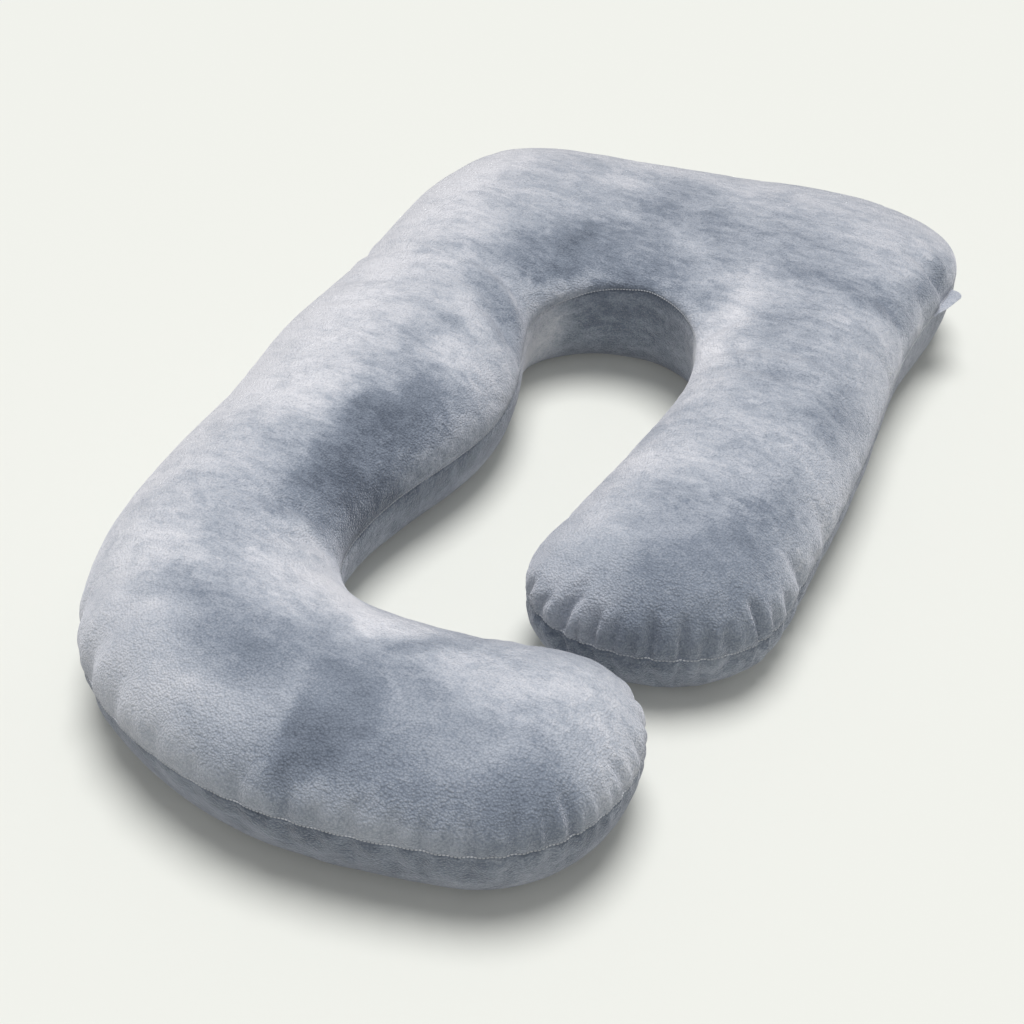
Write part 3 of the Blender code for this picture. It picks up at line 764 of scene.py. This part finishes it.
def nap_with_painted_shading(plan, middle, patches):
    """Tone of the nap with its painted shade and highlights at plan points of a panel, its patches drawn
    out of round.
    """
    for size, amount in PATCH_WAVER:
        waver = np.array([
            [noise.noise(Vector((x, y, seed))) for seed in WAVER_SEEDS] for x, y in plan / size
        ])
        plan = plan + waver * amount
    shade = np.full(len(plan), middle)
    for patch in patches:
        turn = np.radians(patch.turn)
        offset = plan - np.array((patch.x, patch.y))
        ahead = offset @ np.array((np.cos(turn), np.sin(turn)))
        aside = offset @ np.array((-np.sin(turn), np.cos(turn)))
        spread = (ahead / patch.long) ** 2 + (aside / patch.short) ** 2
        shade += patch.shade * np.exp(-(spread ** patch.edge))
    return shade


def mottling(plan):
    """Strength of the mottling at plan points of the upper panel."""
    x, y = plan.T
    hook = smooth_step((CALM_HOOK_FROM_Y - y) / CALM_FADE_Y)
    short = smooth_step((CALM_SHORT_FROM_Y - y) / CALM_FADE_Y)
    short *= smooth_step((x - CALM_SHORT_FROM_X) / CALM_FADE_X) * (y > CALM_SHORT_TO_Y)
    return 1 - MOTTLE_CALM * np.maximum(hook, short)


def add_attribute(piece, name, values):
    """A value at each point of the piece, for its material to read."""
    layer = piece.data.attributes.new(name, "FLOAT", "POINT")
    layer.data.foreach_set("value", np.asarray(values, dtype=np.float32))


# The seam: its ribs, its line, the line of its stitches and the upper panel's way in there.
Seam = namedtuple("Seam", "ribs line stitches across")


def build_cover():
    """The dressed cover and its seam."""
    ribs = cushion_ribs(FINE)
    rings = [panel_rings(ribs, FINE, lower) for lower in (False, True)]
    moves = [np.zeros(ring.from_seam.shape + (3,)) for ring in rings]
    coarse = cushion_ribs(COARSE)
    for k, (ring, move) in enumerate(simulated_move(coarse)):
        moves[k] = finer_move(coarse, ribs, ring, rings[k], move)
        free = smooth_step(rings[k].from_seam / SIM_SEAM_REACH)
        moves[k] *= (SIM_AT_SEAM + (1 - SIM_AT_SEAM) * free)[:, :, None]
    upper = panel_points(ribs, rings[0], False, moves[0])
    lower = panel_points(ribs, rings[1], True, moves[1])
    grid = cover_piece("plush_cover", ribs, upper, lower)
    # Tone of the nap at each point, with painted shade and highlights; the lower panel is painted darker.
    shade = np.full(len(grid.piece.data.vertices), LOWER_PANEL_NAP_WITH_PAINTED_SHADE)
    for rows, points, middle, patches in (
        (grid.lower_rows, lower, LOWER_PANEL_NAP_WITH_PAINTED_SHADE, LOWER_NAP_AND_PAINTED_SHADE_PATCHES),
        (grid.upper_rows, upper, NAP_MIDDLE, NAP_AND_PAINTED_SHADING_PATCHES),
    ):
        plan = points[:, :, 0:2].reshape(-1, 2)
        shade[rows] = nap_with_painted_shading(plan, middle, patches).reshape(rows.shape)
    low = smooth_step(rings[1].from_seam / LOWER_PANEL_FADE)
    shade[grid.lower_rows[1:]] += LOWER_PANEL_LIGHTER * low[1:]
    add_attribute(grid.piece, "nap_and_painted_shading", shade)
    mottle = np.full(len(shade), MOTTLE_LOWER_PANEL)
    mottle[grid.upper_rows] = mottling(upper[:, :, 0:2].reshape(-1, 2)).reshape(upper.shape[0], -1)
    add_attribute(grid.piece, "mottle", mottle)
    middle = np.array((MIDDLE_X, MIDDLE_Y, 0.0))
    across = unit(upper[STITCH_RING + 1] - upper[STITCH_RING - 1])
    return grid.piece, Seam(ribs, upper[0] - middle, upper[STITCH_RING] - middle, across)


def build_stitches(seam):
    """Every stitch of the seam, joined in one piece."""
    order = np.argsort(seam.ribs.along)
    along = seam.ribs.along[order]
    line = seam.stitches[order]
    across = seam.across[order]
    way = seam.ribs.way[order]
    count = int(round(seam.ribs.length / STITCH_PITCH))
    places = (np.arange(count) + 0.5) * seam.ribs.length / count

    def read(values, where):
        return np.column_stack([
            np.interp(where, along, values[:, k], period=seam.ribs.length) for k in range(values.shape[1])
        ])

    ahead = unit(read(line, places + STITCH_LENGTH / 2) - read(line, places - STITCH_LENGTH / 2))
    out = unit(np.cross(ahead, read(across, places)))
    outward = np.column_stack((read(way, places), np.zeros(count)))
    out *= np.sign((out * outward).sum(axis=1))[:, None]
    up = np.cross(ahead, out)
    middle = read(line, places) + out * STITCH_LIFT
    turn = np.arange(STITCH_SIDES) * 2 * np.pi / STITCH_SIDES
    points = []
    faces = []
    for stitch in range(count):
        base = len(points)
        for step, share in STITCH_SHAPE:
            centre = middle[stitch] + ahead[stitch] * step * STITCH_LENGTH
            radius = STITCH_RADIUS * share
            for angle in turn:
                side = out[stitch] * np.cos(angle) + up[stitch] * np.sin(angle)
                points.append(centre + side * radius)
        for ring in range(len(STITCH_SHAPE) - 1):
            low = base + ring * STITCH_SIDES
            for k in range(STITCH_SIDES):
                after = (k + 1) % STITCH_SIDES
                faces.append((low + k, low + after, low + STITCH_SIDES + after, low + STITCH_SIDES + k))
        last = base + (len(STITCH_SHAPE) - 1) * STITCH_SIDES
        faces.append(tuple(base + k for k in range(STITCH_SIDES)))
        faces.append(tuple(last + k for k in range(STITCH_SIDES)))
    return mesh_piece("seam_stitches", points, faces)


def flap_reach(share):
    """How far the flap stands out at a share of its length: a round shoulder, then a taper."""
    if share < FLAP_SHOULDER:
        return FLAP_REACH * np.sqrt(1 - (1 - share / FLAP_SHOULDER) ** 2)
    return FLAP_REACH * (1 - share) / (1 - FLAP_SHOULDER)


def flap_plump(share):
    """Share of the flap's thickness from its root to its rim, fullest a little inside."""
    if share <= 0:
        return FLAP_LEAST_PLUMP
    fullness = np.sin(np.pi * min(1.0, share * FLAP_FULL_PLACE) ** FLAP_FULL_SKEW) ** FLAP_FULL_POWER
    return FLAP_LEAST_PLUMP + (1 - FLAP_LEAST_PLUMP) * fullness


def build_flap(seam):
    """The flap as one doubled leaf, thin at its root and rounded at its rim."""
    along = seam.ribs.along
    near = (along > FLAP_FROM - FLAP_LENGTH) & (along < FLAP_FROM + 2 * FLAP_LENGTH)
    shares = (np.arange(FLAP_SECTIONS) + 0.5) / FLAP_SECTIONS
    places = FLAP_FROM + FLAP_LENGTH * shares
    line = seam.line[near]
    root = np.column_stack([np.interp(places, along[near], line[:, axis]) for axis in range(3)])
    heading = unit(root[-1:] - root[:1])[0]
    outward = np.array((heading[1], -heading[0], 0.0))
    outward *= np.sign(heading[1] * seam.ribs.way[near][0, 0])
    up = np.array((0.0, 0.0, 1.0))
    around = 2 * FLAP_STEPS + FLAP_EDGE_STEPS
    points = []
    for share, point in zip(shares, root):
        reach = max(flap_reach(share), FLAP_THICKNESS)
        wave = FLAP_WAVE * np.sin(share * FLAP_WAVE_TURNS)
        outline = []
        for k in range(FLAP_STEPS):
            outline.append((k / FLAP_STEPS, -1.0))
        for k in range(FLAP_EDGE_STEPS):
            angle = np.pi * (k + 0.5) / FLAP_EDGE_STEPS - np.pi / 2
            outline.append((1.0 + FLAP_RIM / reach * np.cos(angle), np.sin(angle)))
        for k in range(FLAP_STEPS):
            outline.append((1 - (k + 1) / FLAP_STEPS, 1.0))
        for out_share, side in outline:
            inner = min(out_share, 1.0)
            lift = (FLAP_LIFT * reach / FLAP_REACH + wave) * inner ** FLAP_RISE_POWER
            height = lift + side * flap_plump(inner) * FLAP_THICKNESS / 2
            points.append(point + outward * (out_share * reach) + up * height)
    faces = []
    for section in range(FLAP_SECTIONS - 1):
        base = section * around
        for k in range(around):
            after = (k + 1) % around
            faces.append((base + k, base + after, base + around + after, base + around + k))
    faces.append(tuple(range(around)))
    faces.append(tuple((FLAP_SECTIONS - 1) * around + k for k in range(around)))
    flap = mesh_piece("seam_flap_cloth", points, faces)
    add_attribute(flap, "nap_and_painted_shading", np.full(len(points), NAP_MIDDLE))
    add_attribute(flap, "mottle", np.full(len(points), MOTTLE_FLAP))
    return flap


def node(tree, kind, **settings):
    """A new shader node, each setting put into the socket or the property of that name."""
    made = tree.nodes.new(kind)
    for name, value in settings.items():
        if name in made.inputs:
            made.inputs[name].default_value = value
        else:
            setattr(made, name, value)
    return made


def weighted_sum(tree, terms):
    """Adds up each output times its weight, around the middle of a noise."""
    total = None
    for output, weight, middle in terms:
        centred = node(tree, "ShaderNodeMath", operation="SUBTRACT")
        tree.links.new(output, centred.inputs[0])
        centred.inputs[1].default_value = middle
        scaled = node(tree, "ShaderNodeMath", operation="MULTIPLY_ADD")
        tree.links.new(centred.outputs[0], scaled.inputs[0])
        scaled.inputs[1].default_value = weight
        if total is None:
            scaled.inputs[2].default_value = 0.0
        else:
            tree.links.new(total, scaled.inputs[2])
        total = scaled.outputs[0]
    return total


def crisp(tree, output, low, high):
    """The noise with its soft slopes steepened into firmer edges."""
    steep = node(tree, "ShaderNodeMapRange", interpolation_type="SMOOTHSTEP")
    steep.inputs["From Min"].default_value = low
    steep.inputs["From Max"].default_value = high
    tree.links.new(output, steep.inputs["Value"])
    return steep.outputs["Result"]


# Colours of the plush, from the darkest lie of the nap and painted shade to the lightest.
PLUSH_COLOURS = (
    (0.00, (0.130, 0.155, 0.200)),
    (0.30, (0.262, 0.299, 0.366)),
    (0.55, (0.470, 0.506, 0.575)),
    (0.80, (0.710, 0.725, 0.780)),
    (1.00, (0.880, 0.880, 0.925)),
)


PLUSH_SHADER = {
    "Roughness": 0.85,
    "Specular IOR Level": 0.12,
    "Sheen Weight": 1.0,
    "Sheen Roughness": 0.35,
    "Sheen Tint": (0.88, 0.88, 0.95, 1.0),
}

# The mottling's noises, drawn out along the way the nap was brushed. Those with a firm pair
# have their values between the two steepened. share is how much each shades the nap by.
Brushing = namedtuple("Brushing", "stretch turn")
ACROSS = Brushing((0.60, 1.0, 1.0), 0.25)
STROKED = Brushing((0.22, 1.0, 1.0), 0.18)
Mottle = namedtuple("Mottle", "name brushing scale detail roughness distortion firm share middle")
MOTTLES = (
    Mottle("clouds", ACROSS, 9.0, 8.0, 0.62, 0.6, None, 0.30, 0.5),
    Mottle("brushed", ACROSS, 7.0, 7.0, 0.58, 0.5, (0.46, 0.54), 0.07, 0.5),
    Mottle("wisps", ACROSS, 30.0, 8.0, 0.66, 0.6, (0.40, 0.57), 0.115, 0.5),
    Mottle("strokes", STROKED, 62.0, 4.0, 0.55, 0.6, (0.50, 0.64), 0.075, 0.3),
    Mottle("flecks", ACROSS, 95.0, 5.0, 0.64, 0.5, (0.40, 0.58), 0.085, 0.5),
)

# The pile: fine noise and tufts. Both shade the nap a little and give the relief.
PILE_SCALE = 420.0
TUFTS_SCALE = 350.0
TUFTS_MIDDLE = 0.48
PILE_SHADE = 0.35
TUFTS_SHADE = -0.22
PILE_RELIEF = 0.8
TUFTS_RELIEF = -0.9
FLECKS_RELIEF = 0.8
RELIEF_DEPTH = 0.0015


def new_material(name, sockets):
    """A material, its node tree and its shader with the given constant sockets."""
    material = bpy.data.materials.new(name)
    material.use_nodes = True
    shader = material.node_tree.nodes["Principled BSDF"]
    for socket, value in sockets.items():
        shader.inputs[socket].default_value = value
    return material, material.node_tree, shader


def bump_into(tree, height, shader, strength, depth):
    """Relief of the given height on a shader."""
    bump = node(tree, "ShaderNodeBump", Strength=strength, Distance=depth)
    tree.links.new(height, bump.inputs["Height"])
    tree.links.new(bump.outputs["Normal"], shader.inputs["Normal"])


def plush_material(name):
    """Short plush: a mottled nap with painted shade and highlights, brushed streaks, fine pile and a soft
    sheen.
    """
    material, tree, shader = new_material(name, PLUSH_SHADER)
    link = tree.links.new
    place = node(tree, "ShaderNodeTexCoord")
    ways = {}
    for brushing in (ACROSS, STROKED):
        way = node(tree, "ShaderNodeMapping", Scale=brushing.stretch, Rotation=(0.0, 0.0, brushing.turn))
        link(place.outputs["Object"], way.inputs["Vector"])
        ways[brushing] = way.outputs["Vector"]
    grains = {}
    terms = []
    for mottle in MOTTLES:
        texture = node(
            tree, "ShaderNodeTexNoise", Scale=mottle.scale, Detail=mottle.detail,
            Roughness=mottle.roughness, Distortion=mottle.distortion,
        )
        link(ways[mottle.brushing], texture.inputs["Vector"])
        grain = texture.outputs["Fac"]
        grains[mottle.name] = grain
        if mottle.firm:
            grain = crisp(tree, grain, *mottle.firm)
        terms.append((grain, mottle.share, mottle.middle))
    pile = node(tree, "ShaderNodeTexNoise", Scale=PILE_SCALE, Detail=3.0, Roughness=0.75)
    tufts = node(tree, "ShaderNodeTexVoronoi", Scale=TUFTS_SCALE)
    for texture in (pile, tufts):
        link(place.outputs["Object"], texture.inputs["Vector"])
    # The nap's tone with its painted shade and highlights.
    nap_and_painted_shading = node(tree, "ShaderNodeAttribute", attribute_name="nap_and_painted_shading")
    strength = node(tree, "ShaderNodeAttribute", attribute_name="mottle")
    mottled = node(tree, "ShaderNodeMath", operation="MULTIPLY")
    link(weighted_sum(tree, terms), mottled.inputs[0])
    link(strength.outputs["Fac"], mottled.inputs[1])
    shade = weighted_sum(tree, (
        (nap_and_painted_shading.outputs["Fac"], 1.0, 0.0),
        (mottled.outputs[0], 1.0, 0.0),
        (pile.outputs["Fac"], PILE_SHADE, 0.5),
        (tufts.outputs["Distance"], TUFTS_SHADE, TUFTS_MIDDLE),
    ))
    ramp = node(tree, "ShaderNodeValToRGB")
    stops = ramp.color_ramp.elements
    while len(stops) < len(PLUSH_COLOURS):
        stops.new(0.5)
    for stop, (position, colour) in zip(stops, PLUSH_COLOURS):
        stop.position = position
        stop.color = colour + (1.0,)
    link(shade, ramp.inputs["Fac"])
    link(ramp.outputs["Color"], shader.inputs["Base Color"])
    relief = weighted_sum(tree, (
        (pile.outputs["Fac"], PILE_RELIEF, 0.5),
        (tufts.outputs["Distance"], TUFTS_RELIEF, TUFTS_MIDDLE),
        (grains["flecks"], FLECKS_RELIEF, 0.5),
    ))
    bump_into(tree, relief, shader, 1.0, RELIEF_DEPTH)
    return material


THREAD_DARK = (0.56, 0.59, 0.64, 1.0)
THREAD_LIGHT = (0.82, 0.83, 0.86, 1.0)
THREAD_GRAIN = 900.0
THREAD_RELIEF = 0.0002


def thread_material():
    """Fine twisted polyester thread, a little lighter than the plush."""
    material, tree, shader = new_material("stitch_thread", {"Roughness": 0.55})
    place = node(tree, "ShaderNodeTexCoord")
    twist = node(tree, "ShaderNodeTexNoise", Scale=THREAD_GRAIN, Detail=2.0)
    tree.links.new(place.outputs["Object"], twist.inputs["Vector"])
    ramp = node(tree, "ShaderNodeValToRGB")
    ramp.color_ramp.elements[0].color = THREAD_DARK
    ramp.color_ramp.elements[1].color = THREAD_LIGHT
    tree.links.new(twist.outputs["Fac"], ramp.inputs["Fac"])
    tree.links.new(ramp.outputs["Color"], shader.inputs["Base Color"])
    bump_into(tree, twist.outputs["Fac"], shader, 0.5, THREAD_RELIEF)
    return material


FLOOR_SIZE = 14.0
FLOOR_DROP = 0.0005
FLOOR_SHADER = {
    "Base Color": (0.75, 0.757, 0.712, 1.0),
    "Emission Color": (1.0, 1.0, 0.945, 1.0),
    "Emission Strength": 0.06,
    "Roughness": 0.9,
    "Specular IOR Level": 0.1,
}


def build_floor():
    """The plain pale floor."""
    bpy.ops.mesh.primitive_plane_add(size=FLOOR_SIZE, location=(0.0, 0.0, -FLOOR_DROP))
    floor = bpy.context.object
    floor.name = "floor"
    floor.data.materials.append(new_material("pale_floor", FLOOR_SHADER)[0])


# Soft light of a white studio, from nearly overhead and a little behind the pillow.
SUN_FROM = (-0.08, 0.24, 1.00)
SUN_STRENGTH = 2.66
SUN_ANGLE = 32.0
SKY_STRENGTH = 0.28
SKY_COLOUR = (0.985, 0.99, 1.0, 1.0)


def light_the_studio():
    """One broad soft lamp and a dim even sky."""
    lamp = bpy.data.lights.new("key", "SUN")
    lamp.energy = SUN_STRENGTH
    lamp.angle = np.radians(SUN_ANGLE)
    sun = bpy.data.objects.new("key", lamp)
    sun.rotation_euler = (-Vector(SUN_FROM)).to_track_quat("-Z", "Y").to_euler()
    bpy.context.scene.collection.objects.link(sun)
    world = bpy.data.worlds.new("studio")
    world.use_nodes = True
    sky = world.node_tree.nodes["Background"]
    sky.inputs["Color"].default_value = SKY_COLOUR
    sky.inputs["Strength"].default_value = SKY_STRENGTH
    bpy.context.scene.world = world
    bpy.context.scene.view_settings.view_transform = "Standard"


# Camera: where it looks, how far off it is and its angles, solved from the photograph.
CAMERA_TARGET = (-0.0031, -0.0209)
CAMERA_DISTANCE = 2.339
CAMERA_AZIMUTH = 25.95
CAMERA_ELEVATION = 41.63
CAMERA_LENS = 59.92
SENSOR = 36.0
CAMERA_FAR = 50.0


def place_camera():
    """The camera at the photograph's angle."""
    azimuth = np.radians(CAMERA_AZIMUTH)
    elevation = np.radians(CAMERA_ELEVATION)
    target = Vector((CAMERA_TARGET[0] - MIDDLE_X, CAMERA_TARGET[1] - MIDDLE_Y, 0.0))
    back = Vector((
        np.sin(azimuth) * np.cos(elevation), -np.cos(azimuth) * np.cos(elevation), np.sin(elevation),
    ))
    lens = bpy.data.cameras.new("camera")
    lens.lens = CAMERA_LENS
    lens.sensor_width = SENSOR
    lens.clip_end = CAMERA_FAR
    camera = bpy.data.objects.new("camera", lens)
    camera.location = target + back * CAMERA_DISTANCE
    camera.rotation_euler = (-back).to_track_quat("-Z", "Y").to_euler()
    bpy.context.scene.collection.objects.link(camera)
    bpy.context.scene.camera = camera


cover, seam = build_cover()
cover.data.materials.append(plush_material("plush"))
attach(cover, "root")
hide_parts("pillow")

flap = build_flap(seam)
flap.data.materials.append(plush_material("flap_plush"))
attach(flap, "root")
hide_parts("seam_flap")

stitches = build_stitches(seam)
stitches.data.materials.append(thread_material())
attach(stitches, "root")

build_floor()
light_the_studio()
place_camera()
